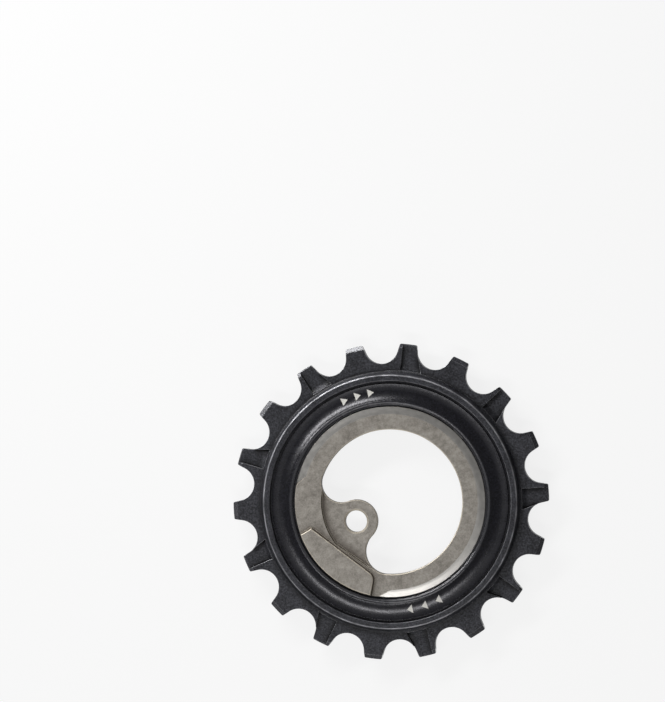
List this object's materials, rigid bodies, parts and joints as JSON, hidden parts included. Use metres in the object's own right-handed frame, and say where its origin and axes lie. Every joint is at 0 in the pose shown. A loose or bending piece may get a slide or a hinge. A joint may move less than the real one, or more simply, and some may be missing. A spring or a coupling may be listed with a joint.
{
  "type": "derailleur jockey wheel",
  "caption": "Hubless chain guide wheel with alternating narrow and wide teeth on a thin ball bearing round an offset-mounted carrier.",
  "frame": {"origin": "on the wheel's axis, in the plane of the carrier's rear face", "axes": "+Z along the wheel's axis towards the front (dished) side, +X to the right and +Y up as seen from the front"},
  "size_m": [0.0748, 0.0746, 0.0086],
  "materials": {
    "black_anodised": "bead-blasted, black anodised",
    "cover_black": "satin black anodised",
    "carrier_metal": "bead-blasted grey anodised",
    "bearing_steel": "ground",
    "ball_steel": "polished",
    "seal_rubber": "matte",
    "cage_plastic": "matte",
    "spring_steel": "satin"
  },
  "bodies": {
    "carrier": {"carrier": "carrier_metal", "carrier_snap_ring": "spring_steel", "inner_race": "bearing_steel"},
    "wheel": {"toothed_ring": "black_anodised", "front_cover": "cover_black", "outer_race": "bearing_steel", "rear_seal": "seal_rubber", "front_seal": "seal_rubber"},
    "ball_train": {"ball_cage": "cage_plastic", "ball_01": "ball_steel", "ball_02": "ball_steel", "ball_03": "ball_steel", "ball_04": "ball_steel", "ball_05": "ball_steel", "ball_06": "ball_steel", "ball_07": "ball_steel", "ball_08": "ball_steel", "ball_09": "ball_steel", "ball_10": "ball_steel", "ball_11": "ball_steel", "ball_12": "ball_steel", "ball_13": "ball_steel", "ball_14": "ball_steel", "ball_15": "ball_steel", "ball_16": "ball_steel", "ball_17": "ball_steel", "ball_18": "ball_steel", "ball_19": "ball_steel", "ball_20": "ball_steel", "ball_21": "ball_steel", "ball_22": "ball_steel"}
  },
  "joints": [
    {"name": "wheel_spin", "type": "hinge", "parent": "carrier", "child": "wheel", "pos_m": [0, 0, 0.0036], "axis": [0, 0, 1], "continuous": true},
    {"name": "cage_orbit", "type": "hinge", "parent": "carrier", "child": "ball_train", "pos_m": [0, 0, 0.0036], "axis": [0, 0, 1], "continuous": true}
  ],
  "couplings": [
    {"joint": "cage_orbit", "follows": "wheel_spin", "ratio": 0.53175}
  ]
}
